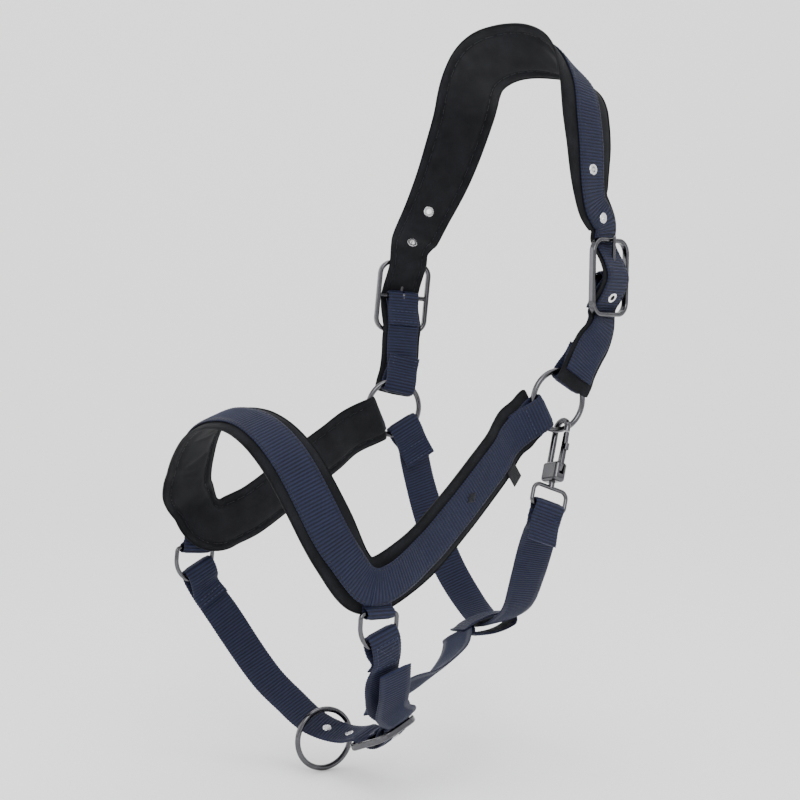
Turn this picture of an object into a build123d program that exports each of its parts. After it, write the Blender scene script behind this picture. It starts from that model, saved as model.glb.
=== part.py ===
from build123d import *
import math
import os

import numpy as np

# Padded halter for a horse's head: a noseband with two cheek pieces, a crown strap with two
# buckles, an adjustable chin strap with the lead ring, a throat strap with a snap hook, and a
# jaw strap between chin and throat. All lengths are millimetres and all angles degrees.
#
# Every strap is described in the head frame: origin midway between the two cheek rings,
# +X to the horse's near (left) side, +Y to the poll, +Z up. The parts are saved in the part
# frame, which has the same directions and its origin at the centre of the lead ring.

# ---------------------------------------------------------------- driving dimensions
WEBBING_WIDTH = 25.0
WEBBING_THICKNESS = 2.0
PLY_GAP = 0.3                 # air between two sewn layers
STITCH_LAP = 26.0             # how far a folded end runs back along its strap
PAD_WIDTH = 38.0
PAD_THICKNESS = 6.0
POLL_PAD_WIDTH = 48.0
LINING_THICKNESS = 1.8        # thin lining on the crown's tongues
LINING_WIDTH = 31.0

RING_INNER_DIAMETER = 38.0
RING_WIRE = 4.0
D_RING_WIDTH = 31.0           # between the wire's centres
D_RING_DEPTH = 23.0
D_RING_WIRE = 3.2
LOOP_CLEARANCE = 1.5          # free space between a wire and the webbing loop round it

CROWN_BUCKLE = (56.0, 43.0, 3.2, 5.0)      # length, width, wall, depth
CHIN_BUCKLE = (46.0, 37.0, 3.0, 4.6)
BUCKLE_CORNER_RADIUS = 11.0
CENTRE_BAR_RADIUS = 1.8
PRONG_RADIUS = 1.3
PRONG_SLOT_WIDTH = 4.4

EYELET_OUTER_RADIUS = 4.0
EYELET_HOLE_RADIUS = 2.1
EYELET_FLANGE = 0.7
EYELET_SPACING = 29.0
CHIN_EYELET_SCALE = 0.8

SNAP_ROD = 4.4
SNAP_EYE_WIDTH = 29.0
SNAP_EYE_DEPTH = 14.0
SNAP_EYE_TOP = -43.5
SNAP_EYE_WIRE = 3.0
SWIVEL_CLEARANCE = 0.06

SECTION_STEP = 15.0           # longest stretch between two cross-sections of a strap


def vec(*values):
    return np.array(values, float)


def unit(v):
    return v / np.linalg.norm(v)


def square_to(v, axis):
    """The unit vector nearest to v that is perpendicular to axis."""
    return unit(v - np.dot(v, axis) * axis)


# ---------------------------------------------------------------- places in the head frame
NEAR_RING_CENTRE = vec(86.5, 0, 0)
NEAR_RING_NORMAL = vec(math.sin(math.radians(78)), -math.cos(math.radians(78)), 0)
OFF_RING_CENTRE = vec(-86.5, -1, -17)
OFF_RING_NORMAL = -vec(math.sin(math.radians(69)), -math.cos(math.radians(69)), 0)

LEAD_RING_CENTRE = vec(-15, -131, -239.8)
LEAD_RING_NORMAL = unit(vec(0.978, -0.208, 0))


class Frame:
    """A right-handed set of directions at a place: along, across and out."""

    def __init__(self, origin, along, out):
        self.origin = origin
        self.along = unit(along)
        self.out = square_to(out, self.along)
        self.across = np.cross(self.out, self.along)

    def at(self, along, out, across=0.0):
        return self.origin + along * self.along + out * self.out + across * self.across

    def plane(self):
        return Plane(origin=tuple(self.origin), x_dir=tuple(self.along), z_dir=tuple(self.out))


NEAR_CROWN_BUCKLE = Frame(vec(95, 43, 86), vec(-0.03, 0.05, 1), vec(1, 0.1, 0.0))
OFF_CROWN_BUCKLE = Frame(vec(-95, 16, 68), vec(0.03, 0.1, 1), vec(-0.93, 0.37, 0))
CHIN_BUCKLE_FRAME = Frame(vec(40, -124, -226), vec(-0.93, 0.04, -0.37), vec(0.363, 0.292, -0.881))

NEAR_D_RING = Frame(vec(95.3, -176, -127.3), vec(0, -0.08, -1), vec(1, 0, 0))
OFF_D_RING = Frame(vec(-96.3, -183, -107.5), vec(0, -0.12, -0.985), vec(-1, 0, 0))

SNAP_HOOK = Frame(vec(87.2, 3.2, -20.7), vec(-0.133, 0.383, 0.914), vec(0.978, -0.208, 0))


# ---------------------------------------------------------------- straps as bands
def station(centre, across, width=WEBBING_WIDTH, inner=None, outer=None):
    """A cross-section of a strap: its middle, the direction of its width, its width, and how far
    its inner and outer faces lie from the middle surface."""
    inner = -WEBBING_THICKNESS / 2 if inner is None else inner
    outer = WEBBING_THICKNESS / 2 if outer is None else outer
    return np.concatenate([centre, unit(across), [width, inner, outer]])


def smooth(stations, step=SECTION_STEP):
    """Adds sections between stations that lie far apart, on a smooth curve through all of them."""
    rows = np.array(stations)
    gaps = np.linalg.norm(np.diff(rows[:, :3], axis=0), axis=1)
    place = np.concatenate([[0], np.cumsum(gaps)])
    slopes = np.gradient(rows, place, axis=0)
    filled = [rows[0]]
    for i, gap in enumerate(gaps):
        pieces = max(1, math.ceil(gap / step))
        for k in range(1, pieces + 1):
            t = k / pieces
            start_weight = 2 * t**3 - 3 * t**2 + 1
            end_weight = 1 - start_weight
            start_slope = t**3 - 2 * t**2 + t
            end_slope = t**3 - t**2
            filled.append(
                start_weight * rows[i] + end_weight * rows[i + 1]
                + gap * (start_slope * slopes[i] + end_slope * slopes[i + 1])
            )
    filled = np.array(filled)
    for row, tangent in zip(filled, np.gradient(filled[:, :3], axis=0)):
        row[3:6] = square_to(row[3:6], unit(tangent))
    return filled


def band(rows):
    """A closed solid through the sections, which are flat and joined by ruled faces."""
    rows = np.array(rows)
    sections = []
    for row, out in zip(rows, outward(rows)):
        across = unit(row[3:6])
        half, inner, outer = row[6] / 2, row[7], row[8]
        corners = [
            row[:3] - half * across + inner * out,
            row[:3] + half * across + inner * out,
            row[:3] + half * across + outer * out,
            row[:3] - half * across + outer * out,
        ]
        sections.append(Wire.make_polygon([tuple(c) for c in corners], close=True))
    return Solid.make_loft(sections, ruled=True)


def fold(bar, into, fold_side, across, radius, flat=0.0, lap=STITCH_LAP, **size):
    """The folded end of a strap, from the end of its lap, round a bar, to where both layers have
    come together again. `into` points from the strap to the bar and `fold_side` to the lap."""
    into = unit(into)
    across = square_to(across, into)
    fold_side = np.cross(across, into) * np.sign(np.dot(np.cross(across, into), fold_side))
    turn = radius + WEBBING_THICKNESS / 2
    half_gap = (WEBBING_THICKNESS + PLY_GAP) / 2
    taper = flat + 2.4 * turn
    points = [(-lap, half_gap), (-taper, half_gap), (-flat - 0.6 * turn, 0.86 * turn)]
    if flat:
        points.append((-flat, turn))
    for degrees in (90, 54, 18, -18, -54, -90):
        angle = math.radians(degrees)
        points.append((turn * math.cos(angle), turn * math.sin(angle)))
    if flat:
        points.append((-flat, -turn))
    points += [(-flat - 0.6 * turn, -0.86 * turn), (-taper, -half_gap)]
    return [station(bar + x * into + y * fold_side, across, **size) for x, y in points]


RING_RADIUS = (RING_INNER_DIAMETER + RING_WIRE) / 2
RING_CHORD = math.sqrt(RING_RADIUS**2 - (WEBBING_WIDTH / 2) ** 2)


class RingEnd:
    """Where a strap leaves a ring. `side` points from the ring's centre to the strap, and `lean`
    is how far the strap leans out of the ring's plane."""

    def __init__(self, centre, normal, side, lean=0.0):
        in_plane = square_to(side, normal)
        self.bar = centre + RING_CHORD * in_plane
        self.away = unit(in_plane + lean * normal)
        self.out = unit(normal - lean * in_plane)
        self.across = np.cross(normal, in_plane)

    def at(self, distance, height):
        """A place on the strap: distance from the wire, height outward of its middle."""
        return self.bar + distance * self.away + height * self.out

    def loop(self, across_hint, lap=STITCH_LAP):
        """The folded end of the strap, with its lap on the inner side."""
        across = self.across * np.sign(np.dot(self.across, across_hint))
        return fold(
            self.bar, -self.away, -self.out, across,
            RING_WIRE / 2 + LOOP_CLEARANCE, flat=RING_RADIUS - RING_CHORD, lap=lap,
        )


def outward(rows):
    """The outward direction of a strap at every section."""
    tangents = np.gradient(rows[:, :3], axis=0)
    return np.array([unit(np.cross(row[3:6], t)) for row, t in zip(rows, tangents)])


def raised(rows, height, normals=None):
    """The same sections moved outward by a height, or by one height for each section."""
    normals = outward(rows) if normals is None else normals
    moved = rows.copy()
    moved[:, :3] += normals * np.reshape(height, (-1, 1))
    return moved


def nearest_row(rows, point):
    return int(np.argmin(np.linalg.norm(rows[:, :3] - np.array(point, float), axis=1)))


def resized(rows, width, inner, outer):
    """The same path with another width and other faces."""
    changed = rows.copy()
    changed[:, 6] = width
    changed[:, 7] = inner
    changed[:, 8] = outer
    return changed


def fan(corner, radius, first_across, last_across, count):
    """Sections that turn about the inner corner of a V."""
    first, last = unit(first_across), unit(last_across)
    angle = math.acos(np.dot(first, last))
    rows = []
    for k in range(count):
        t = k / (count - 1)
        across = (math.sin((1 - t) * angle) * first + math.sin(t * angle) * last) / math.sin(angle)
        rows.append(station(corner - radius * across, across))
    return rows


# ---------------------------------------------------------------- noseband
NEAR_CHEEK_END = RingEnd(NEAR_RING_CENTRE, NEAR_RING_NORMAL, vec(-0.14, -0.86, -0.47), 0.14)
OFF_CHEEK_END = RingEnd(OFF_RING_CENTRE, OFF_RING_NORMAL, vec(-0.33, -0.86, -0.39), -0.14)
NEAR_V_CORNER = vec(91, -176, -88)
OFF_V_CORNER = vec(-92, -165, -69)
NEAR_V_RADIUS = 22.0
OFF_V_RADIUS = 23.0
V_SECTIONS = 7
SEWN_GAP = 0.15               # air between the pad and the webbing on it
TAB_WIDTH = 24.0
TAB_THICKNESS = 1.3
V_RISE = 2 * TAB_THICKNESS + 1.0


def pad_under_loop(end, across):
    """The start of a pad's outer face, dipping under the webbing loop at a ring."""
    places = [(-2, 7.2), (4.5, 6.6), (9.5, 5.0), (15, 3.2), (26, 2.9)]
    return [station(end.at(distance, -depth), across) for distance, depth in places]


def noseband_surface():
    """The surface between pad and webbing, from the near ring over the nose to the off ring."""
    near_start = pad_under_loop(NEAR_CHEEK_END, vec(-0.05, -0.45, 0.89))
    near_cheek = [
        station(vec(*place), vec(0, -0.55, 0.835))
        for place in [(85.5, -55, -33.5), (89, -75, -48), (91, -108, -74)]
    ]
    near_cheek += [
        station(vec(91, -135, -94), vec(0, -0.5, 0.87)),
        station(vec(91, -153, -103), vec(0, -0.42, 0.9)),
    ]
    near_v = fan(NEAR_V_CORNER, NEAR_V_RADIUS, vec(0, -0.3, 0.95), vec(0, 0.72, 0.69), V_SECTIONS)
    nose = [
        station(vec(91, -202, -90), vec(0.08, 0.8, 0.6)),
        station(vec(88, -214, -68), vec(0.35, 0.85, 0.4)),
        station(vec(81, -221, -48), vec(0.33, 0.87, 0.38)),
        station(vec(69, -228, -25), vec(0.25, 0.9, 0.35)),
        station(vec(52, -232, -9.5), vec(0.1, 0.94, 0.32)),
        station(vec(32, -233, -2), vec(0, 0.96, 0.28)),
        station(vec(10, -233, -1.5), vec(-0.08, 0.96, 0.27)),
        station(vec(-18, -228, -8.5), vec(-0.08, 0.96, 0.27)),
        station(vec(-42, -219.5, -21.5), vec(-0.03, 0.97, 0.24)),
        station(vec(-66, -209, -41), vec(0.06, 0.97, 0.2)),
        station(vec(-84, -199, -62), vec(0.13, 0.97, 0.16)),
    ]
    off_v = fan(OFF_V_CORNER, OFF_V_RADIUS, vec(0, 0.95, 0.25), vec(0, -0.44, 0.9), V_SECTIONS)
    off_cheek = [
        station(vec(*place), vec(0, -0.47, 0.88))
        for place in [(-92, -139, -85), (-92, -118, -75), (-92, -80, -54)]
    ]
    off_cheek.append(station(vec(-93, -58, -43), vec(0.03, -0.47, 0.88)))
    off_end = pad_under_loop(OFF_CHEEK_END, vec(0.1, -0.42, 0.9))
    rows = near_start + near_cheek + near_v + nose + off_v + off_cheek + off_end[::-1]
    near_seam = near_v[V_SECTIONS // 2]
    off_seam = off_v[V_SECTIONS // 2]
    return smooth(rows), near_seam, off_seam


NOSEBAND, NEAR_SEAM, OFF_SEAM = noseband_surface()
NOSEBAND_OUT = outward(NOSEBAND)
NEAR_SEAM_ROW = nearest_row(NOSEBAND, NEAR_SEAM[:3])
OFF_SEAM_ROW = nearest_row(NOSEBAND, OFF_SEAM[:3])


def nose_pad():
    return band(resized(NOSEBAND, PAD_WIDTH, -PAD_THICKNESS, 0))


def webbing_heights():
    """How high the webbing's middle lies over the pad: one tab thicker at the bottom of each V."""
    rest = SEWN_GAP + WEBBING_THICKNESS / 2
    heights = np.full(len(NOSEBAND), rest)
    for seam_row, corner in ((NEAR_SEAM_ROW, NEAR_SEAM), (OFF_SEAM_ROW, OFF_SEAM)):
        distance = np.linalg.norm(NOSEBAND[:, :3] - corner[:3], axis=1)
        heights += V_RISE * np.clip((48 - distance) / 24, 0, 1)
    return heights


def noseband_webbing(first, last):
    """The webbing on the pad between two sections of the noseband."""
    rows = raised(NOSEBAND, webbing_heights(), NOSEBAND_OUT)
    return resized(rows[first:last + 1], WEBBING_WIDTH, -WEBBING_THICKNESS / 2, WEBBING_THICKNESS / 2)


def shortened(rows, first_cut=0.0, last_cut=0.0):
    """The same strap with a little taken off its ends."""
    cut = rows.copy()
    cut[0] = rows[0] + (rows[1] - rows[0]) * first_cut
    cut[-1] = rows[-1] + (rows[-2] - rows[-1]) * last_cut
    return cut


SEAM_CUT = 0.06               # share of a section's length left open at each seam
DOUBLE_PLY_ROWS = 5           # sections of the noseband that lie under a ring's folded webbing


def near_cheek_webbing():
    loop = NEAR_CHEEK_END.loop(vec(0, -0.3, 0.95))
    sewn = noseband_webbing(DOUBLE_PLY_ROWS, NEAR_SEAM_ROW)
    return band(list(loop) + list(shortened(sewn, last_cut=SEAM_CUT)))


def off_cheek_webbing():
    loop = OFF_CHEEK_END.loop(vec(0, -0.5, 0.85))
    sewn = noseband_webbing(OFF_SEAM_ROW, len(NOSEBAND) - 1 - DOUBLE_PLY_ROWS)
    return band(list(shortened(sewn, first_cut=SEAM_CUT)) + list(loop[::-1]))


def nose_webbing():
    rows = noseband_webbing(NEAR_SEAM_ROW, OFF_SEAM_ROW)
    return band(shortened(rows, SEAM_CUT, SEAM_CUT))


def nose_tab(d_ring):
    """The tape that holds a D-ring: folded round its bar and sewn in under the webbing."""
    into = d_ring.along
    half_gap = (TAB_THICKNESS + PLY_GAP) / 2
    turn = D_RING_WIRE / 2 + 0.7 + TAB_THICKNESS / 2
    root = 15.0
    profile = [(-root, half_gap), (-4.6, half_gap), (-2, 0.85 * turn)]
    profile += [
        (turn * math.cos(math.radians(a)), turn * math.sin(math.radians(a)))
        for a in (90, 45, 0, -45, -90)
    ]
    profile += [(-2, -0.85 * turn), (-4.6, -half_gap), (-root, -half_gap)]
    across = d_ring.across
    size = {"width": TAB_WIDTH, "inner": -TAB_THICKNESS / 2, "outer": TAB_THICKNESS / 2}
    sink = d_ring.out * (turn - half_gap)
    rows = []
    for x, y in profile:
        depth = sink * np.clip((-x - 1) / 3.6, 0, 1)
        rows.append(station(d_ring.origin + x * into + y * d_ring.out - depth, across, **size))
    return band(rows)


SIZE_TAB = (12.0, 13.0, 0.9)


def size_tab():
    """A blank folded tab on the lower edge of the near cheek."""
    row = nearest_row(NOSEBAND, (86.5, -56, -34))
    middle, across, out = NOSEBAND[row, :3], unit(NOSEBAND[row, 3:6]), NOSEBAND_OUT[row]
    centre = middle - across * (WEBBING_WIDTH / 2 + 0.5 + SIZE_TAB[1] / 2) + out * 0.9
    plane = Plane(origin=tuple(centre), x_dir=tuple(across), z_dir=tuple(out))
    return plane * Box(SIZE_TAB[1], SIZE_TAB[0], SIZE_TAB[2])


# ---------------------------------------------------------------- crown
UNDER_BAR = CROWN_BUCKLE[3] / 2 + WEBBING_THICKNESS + 0.8
OVER_BAR = CENTRE_BAR_RADIUS + 0.5 + WEBBING_THICKNESS + LINING_THICKNESS + 0.9
BUCKLE_PATH = [                # along the buckle, height of the strap: down to up
    (-25, -UNDER_BAR),
    (-17, -0.9),
    (-10, 3.6),
    (0, OVER_BAR),
    (10, 3.4),
    (17, -1.0),
    (25, -UNDER_BAR),
    (37, -UNDER_BAR),
]


def through_buckle(frame, across, width, inner):
    """The crown strap's way through a buckle, from below the lower bar to above the upper bar."""
    return [
        station(frame.at(along, height), across, width, inner, 0)
        for along, height in BUCKLE_PATH
    ]


NEAR_CROWN_END = RingEnd(NEAR_RING_CENTRE, NEAR_RING_NORMAL, vec(0.11, 0.515, 0.85), 0.0)
OFF_CROWN_END = RingEnd(OFF_RING_CENTRE, OFF_RING_NORMAL, vec(0.1, 0.2, 0.95), 0.0)
TONGUE_PLACES = [(-7, 9.0), (3, 8.9), (10, 7.6)]
TONGUE_HEIGHT = WEBBING_THICKNESS / 2 + LINING_THICKNESS + 1.4


STRAP_UNDER_TONGUE = UNDER_BAR + LINING_THICKNESS + WEBBING_THICKNESS + PLY_GAP + 0.5
INTO_BAR = (0.92, 0.39)       # how a buckle's own strap rises to the centre bar: along, out


def bar_loop(frame, across_hint, lap):
    """A strap's folded end round a buckle's centre bar, coming from the lower side."""
    into = INTO_BAR[0] * frame.along + INTO_BAR[1] * frame.out
    across = frame.across * np.sign(np.dot(frame.across, across_hint))
    return fold(frame.origin, into, -frame.out, across, CENTRE_BAR_RADIUS + 0.5, lap=lap)


def buckle_strap_rows(frame, ring_end, across):
    """The strap from a crown buckle's centre bar down to a ring, and the part under the tongue."""
    half_gap = (WEBBING_THICKNESS + PLY_GAP) / 2
    upper = bar_loop(frame, across, 24)
    lower = ring_end.loop(across, 24)[::-1]
    under = [
        station(frame.at(along, height + half_gap), across)
        for along, height in ((-17, -7.4), (-24, -STRAP_UNDER_TONGUE), (-31, -STRAP_UNDER_TONGUE))
    ]
    middle = smooth([upper[-1]] + under + [lower[0]])
    return np.vstack([upper[:-1], middle, lower[1:]]), middle


NEAR_BUCKLE_STRAP, NEAR_UNDER_TONGUE = buckle_strap_rows(
    NEAR_CROWN_BUCKLE, NEAR_CROWN_END, vec(-0.1, 0.97, -0.15)
)
OFF_BUCKLE_STRAP, OFF_UNDER_TONGUE = buckle_strap_rows(
    OFF_CROWN_BUCKLE, OFF_CROWN_END, vec(0.37, 0.93, 0)
)


def tongue_rows(ring_end, strap_rows, buckle_rows):
    """The crown strap's tongue, from its end up over the buckle strap to the buckle."""
    tongue = {"width": LINING_WIDTH, "inner": -LINING_THICKNESS, "outer": 0}
    side = np.sign(np.dot(outward(strap_rows)[-2], ring_end.out))
    over_strap = raised(strap_rows[3:-1], side * TONGUE_HEIGHT)[::-1]
    across = over_strap[0][3:6]
    rows = [station(ring_end.at(distance, height), across, **tongue)
            for distance, height in TONGUE_PLACES]
    rows += list(resized(over_strap, LINING_WIDTH, -LINING_THICKNESS, 0))
    return rows + buckle_rows


def crown_surface():
    """The surface between the crown's lining and its webbing, from near tongue to off tongue."""
    near_across = vec(-0.1, 0.97, -0.15)
    off_across = vec(0.37, 0.93, 0)
    near_buckle = through_buckle(NEAR_CROWN_BUCKLE, near_across, LINING_WIDTH, -LINING_THICKNESS)
    off_buckle = through_buckle(OFF_CROWN_BUCKLE, off_across, LINING_WIDTH, -LINING_THICKNESS)
    rows = tongue_rows(NEAR_CROWN_END, NEAR_UNDER_TONGUE, near_buckle)
    over_head = [
        ((89.5, 33, 137), (-0.1, 0.98, 0.05), 36, 2.5),
        ((89, 30, 155), (-0.05, 0.99, 0.0), 41, 4.0),
        ((87, 31, 178), (0, 1, 0), 45, 5.0),
        ((83, 32.5, 199), (0, 1, -0.08), 48, 5.6),
        ((75, 36, 221), (0, 0.93, -0.35), 50, PAD_THICKNESS),
        ((56, 38, 240), (0, 0.78, -0.6), 50, PAD_THICKNESS),
        ((30, 33, 250), (0, 0.62, -0.74), POLL_PAD_WIDTH, PAD_THICKNESS),
        ((3, 30, 250), (0, 0.6, -0.75), POLL_PAD_WIDTH, PAD_THICKNESS),
        ((-28, 37, 243), (0.1, 0.6, -0.72), POLL_PAD_WIDTH, PAD_THICKNESS),
        ((-54, 50, 229), (0.3, 0.68, -0.5), POLL_PAD_WIDTH, PAD_THICKNESS),
        ((-73, 61, 210), (0.5, 0.75, -0.15), POLL_PAD_WIDTH, PAD_THICKNESS),
        ((-84, 62, 188), (0.58, 0.77, 0.08), 46, 5.6),
        ((-89, 54, 162), (0.5, 0.85, 0.1), 43, 5.0),
        ((-93, 42, 136), (0.42, 0.9, 0.05), 39, 3.6),
        ((-95, 31, 116), (0.38, 0.92, 0), 36, 2.5),
    ]
    rows += [station(vec(*p), vec(*w), width, -depth, 0) for p, w, width, depth in over_head]
    rows += tongue_rows(OFF_CROWN_END, OFF_UNDER_TONGUE, off_buckle)[::-1]
    return smooth(rows)


CROWN = crown_surface()
CROWN_OUT = outward(CROWN)


def crown_eyelet_planes():
    """Where eyelets sit on the crown strap: above and below each buckle's prong hole."""
    planes = []
    for frame in (NEAR_CROWN_BUCKLE, OFF_CROWN_BUCKLE):
        for along, height in ((-13.5, 1.4), (46, -UNDER_BAR), (46 + EYELET_SPACING, -UNDER_BAR)):
            place = frame.at(along, height)
            distance = np.linalg.norm(CROWN[:, :3] - place, axis=1)
            row = int(np.argmin(distance))
            step = CROWN[min(row + 1, len(CROWN) - 1), :3] - CROWN[row, :3]
            back = CROWN[row, :3] - CROWN[row - 1, :3]
            ahead = np.dot(place - CROWN[row, :3], unit(step))
            if ahead < 0:
                step = back
            tangent = unit(step)
            middle = CROWN[row, :3] + tangent * ahead
            across = square_to(CROWN[row, 3:6], tangent)
            out = np.cross(across, tangent)
            depth = -np.interp(np.dot(middle, tangent), *edge_profile(row, tangent))
            planes.append((middle, tangent, out, depth))
    return planes


def edge_profile(row, tangent):
    """The crown's lining depth against the distance along a direction, near one section."""
    first, last = max(row - 1, 0), min(row + 2, len(CROWN))
    along = CROWN[first:last, :3] @ tangent
    order = np.argsort(along)
    return along[order], CROWN[first:last, 7][order]


def eyelet(plane, low, high, scale=1.0):
    """A flanged metal eyelet through a strap whose faces lie at the heights low and high."""
    hole = EYELET_HOLE_RADIUS * scale
    barrel = hole + 0.7
    rim = EYELET_OUTER_RADIUS * scale
    half = EYELET_FLANGE / 2
    bevel = EYELET_FLANGE * 0.4
    outline = [
        (hole, low - half), (rim - bevel, low - half), (rim, low - half + bevel), (rim, low + half),
        (barrel, low + half), (barrel, high - half), (rim, high - half),
        (rim, high + half - bevel), (rim - bevel, high + half), (hole, high + half),
    ]
    profile = make_face(Plane.XZ * Polyline(*outline, close=True))
    return plane * revolve(profile, Axis.Z)


def eyelet_room(plane, low, high, scale=1.0):
    """The space an eyelet needs in its strap: a hole with a sunk seat at each face."""
    barrel = EYELET_HOLE_RADIUS * scale + 0.8
    seat_radius = EYELET_OUTER_RADIUS * scale + 0.15
    seat = EYELET_FLANGE / 2 + 0.08
    depth = 4.0
    hole = Pos(0, 0, (low + high) / 2) * Cylinder(barrel, high - low + 2 * depth)
    upper = Pos(0, 0, high - seat + depth / 2) * Cylinder(seat_radius, depth)
    lower = Pos(0, 0, low + seat - depth / 2) * Cylinder(seat_radius, depth)
    return plane * (hole + upper + lower)


def solid_of(shape):
    """The one solid in a shape."""
    solids = shape.solids() if hasattr(shape, "solids") else [shape]
    return max(solids, key=lambda s: s.volume)


def crown_eyelets_and_room():
    eyelets, rooms = [], []
    for middle, tangent, out, depth in crown_eyelet_planes():
        plane = Plane(origin=tuple(middle), x_dir=tuple(tangent), z_dir=tuple(out))
        low, high = -depth, SEWN_GAP + WEBBING_THICKNESS
        eyelets.append(eyelet(plane, low, high))
        rooms.append(eyelet_room(plane, low, high))
    return eyelets, rooms


def prong_slot(frame, reach):
    """The opening a buckle's prong needs in the strap that lies on it."""
    low, high = reach
    plane = Plane(origin=tuple(frame.at((low + high) / 2, 0)), x_dir=tuple(frame.along),
                  z_dir=tuple(frame.out))
    return plane * Box(high - low, PRONG_SLOT_WIDTH, 30)


CROWN_SLOT = (1.0, 21.0)
BUCKLE_STRAP_SLOT = (-9.0, 9.0)


def crown_webbing_band():
    rows = raised(CROWN, SEWN_GAP + WEBBING_THICKNESS / 2, CROWN_OUT)
    rows = resized(rows, WEBBING_WIDTH, -WEBBING_THICKNESS / 2, WEBBING_THICKNESS / 2)
    return band(rows[1:-1])


# ---------------------------------------------------------------- metalwork
def halter_ring(centre, normal):
    """A round ring for straps of the halter's width."""
    return Plane(origin=tuple(centre), z_dir=tuple(normal)) * Torus(RING_RADIUS, RING_WIRE / 2)


def d_ring(frame):
    """A D-shaped ring: a straight bar at the frame's origin and a bow along the frame."""
    half = D_RING_WIDTH / 2
    with BuildLine() as outline:
        Line((0, -half + 3), (0, half - 3))
        CenterArc((3, half - 3), 3, 90, 90)
        Line((3, half), (D_RING_DEPTH - half, half))
        CenterArc((D_RING_DEPTH - half, 0), half, -90, 180)
        Line((D_RING_DEPTH - half, -half), (3, -half))
        CenterArc((3, -half + 3), 3, 180, 90)
    path = outline.wire()
    profile = Plane(origin=path @ 0, z_dir=path % 0) * Circle(D_RING_WIRE / 2)
    return frame.plane() * solid_of(sweep(profile, path=path))


def buckle(frame, size):
    """A flat buckle: a rounded frame with a bar across its middle."""
    length, width, wall, depth = size
    outline = RectangleRounded(length, width, BUCKLE_CORNER_RADIUS)
    opening = RectangleRounded(length - 2 * wall, width - 2 * wall, BUCKLE_CORNER_RADIUS - wall)
    body = extrude(outline - opening, depth / 2, both=True)
    body = fillet(body.edges().group_by(Axis.Z)[0] + body.edges().group_by(Axis.Z)[-1], wall * 0.4)
    bar = Rot(90, 0, 0) * Cylinder(CENTRE_BAR_RADIUS, width - wall)
    return frame.plane() * solid_of(body + bar)


PRONG_EYE_CLEARANCE = 0.12


def prong(frame, size):
    """A tongue of wire: an eye round the centre bar and a shaft whose tip rests on the end bar."""
    length, _, wall, depth = size
    eye_radius = CENTRE_BAR_RADIUS + PRONG_EYE_CLEARANCE + PRONG_RADIUS
    reach = length / 2 + 0.6
    tip_height = depth / 2 + PRONG_RADIUS + 0.15
    shaft_angle = math.atan2(tip_height - eye_radius, reach)
    eye = Rot(90, 0, 0) * Torus(eye_radius, PRONG_RADIUS)
    shaft_length = math.hypot(reach, tip_height - eye_radius)
    shaft = Pos(0, 0, eye_radius) * Rot(0, 90 - math.degrees(shaft_angle), 0) * Pos(
        0, 0, shaft_length / 2
    ) * Cylinder(PRONG_RADIUS, shaft_length)
    tip = Pos(reach, 0, tip_height) * Sphere(PRONG_RADIUS)
    return frame.plane() * solid_of(eye + shaft + tip)


# ---------------------------------------------------------------- chin
CHIN_UNDER = CHIN_BUCKLE[3] / 2 + WEBBING_THICKNESS / 2 + 0.75
CHIN_OVER = CENTRE_BAR_RADIUS + 0.5 + WEBBING_THICKNESS * 1.5 + 0.5
CHIN_BUCKLE_PATH = [(33, -CHIN_UNDER - 1.0), (26, -CHIN_UNDER - 0.3), (20, -CHIN_UNDER),
                    (13, 0.8), (7, 4.4), (0, CHIN_OVER), (-7, 5.0), (-13, 2.4),
                    (-19.5, -CHIN_UNDER), (-24, -CHIN_UNDER - 0.6)]


def off_chin_path():
    """The adjustable chin strap, from the off D-ring through the buckle to its free tongue."""
    frame = CHIN_BUCKLE_FRAME
    straight = [
        station(vec(*place), vec(0.2, 0.95, 0.22))
        for place in [
            (-89, -164, -157), (-82, -155, -175), (-73, -149, -190), (-61, -144, -204),
            (-45, -138, -217), (-26, -133, -229),
        ]
    ]
    buckled = [station(frame.at(a, h), frame.across) for a, h in CHIN_BUCKLE_PATH]
    tongue = [
        station(vec(*place), vec(0.08, 0.99, 0.1))
        for place in [(78.5, -150, -199), (90, -158, -184), (99, -165, -166)]
    ]
    return straight + buckled + tongue


D_BOW_RADIUS = D_RING_WIDTH / 2
D_BOW_RISE = D_BOW_RADIUS - math.sqrt(D_BOW_RADIUS**2 - (WEBBING_WIDTH / 2) ** 2)


def chin_loop(d_frame, across_hint, turn, lap):
    """A chin strap's folded end round the bow of a D-ring, turned rearward along the bow."""
    rearward = d_frame.across * np.sign(d_frame.across[1])
    angle = math.radians(turn)
    away = math.cos(angle) * d_frame.along + math.sin(angle) * rearward
    across = np.cross(d_frame.out, away)
    across = across * np.sign(np.dot(across, across_hint))
    bow_middle = d_frame.at(D_RING_DEPTH - D_BOW_RADIUS, 0)
    bar = bow_middle + (D_BOW_RADIUS - D_BOW_RISE - 0.6) * away
    return fold(bar, -away, -d_frame.out, across, D_RING_WIRE / 2 + 1.2,
                flat=D_BOW_RISE + 0.8, lap=lap)


CHIN_LAP_PAST_LOOP = 7.0


def with_lap_along(loop, strap):
    """A folded end joined to its strap, with the lap following the strap's own curve."""
    travelled = np.cumsum(np.linalg.norm(np.diff(strap[:, :3], axis=0), axis=1))
    covered = int(np.searchsorted(travelled, CHIN_LAP_PAST_LOOP)) + 2
    normals = outward(strap)
    side = np.sign(np.dot(loop[1][:3] - loop[-1][:3], normals[0]))
    lap = raised(strap, side * (WEBBING_THICKNESS + PLY_GAP), normals)[:covered][::-1]
    return np.vstack([lap, loop[2:-1], strap])


def off_chin_rows():
    loop = chin_loop(OFF_D_RING, vec(0.2, 0.95, 0.22), 30, 19)
    return with_lap_along(loop, smooth([loop[-1]] + off_chin_path()))


OFF_CHIN = off_chin_rows()


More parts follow.
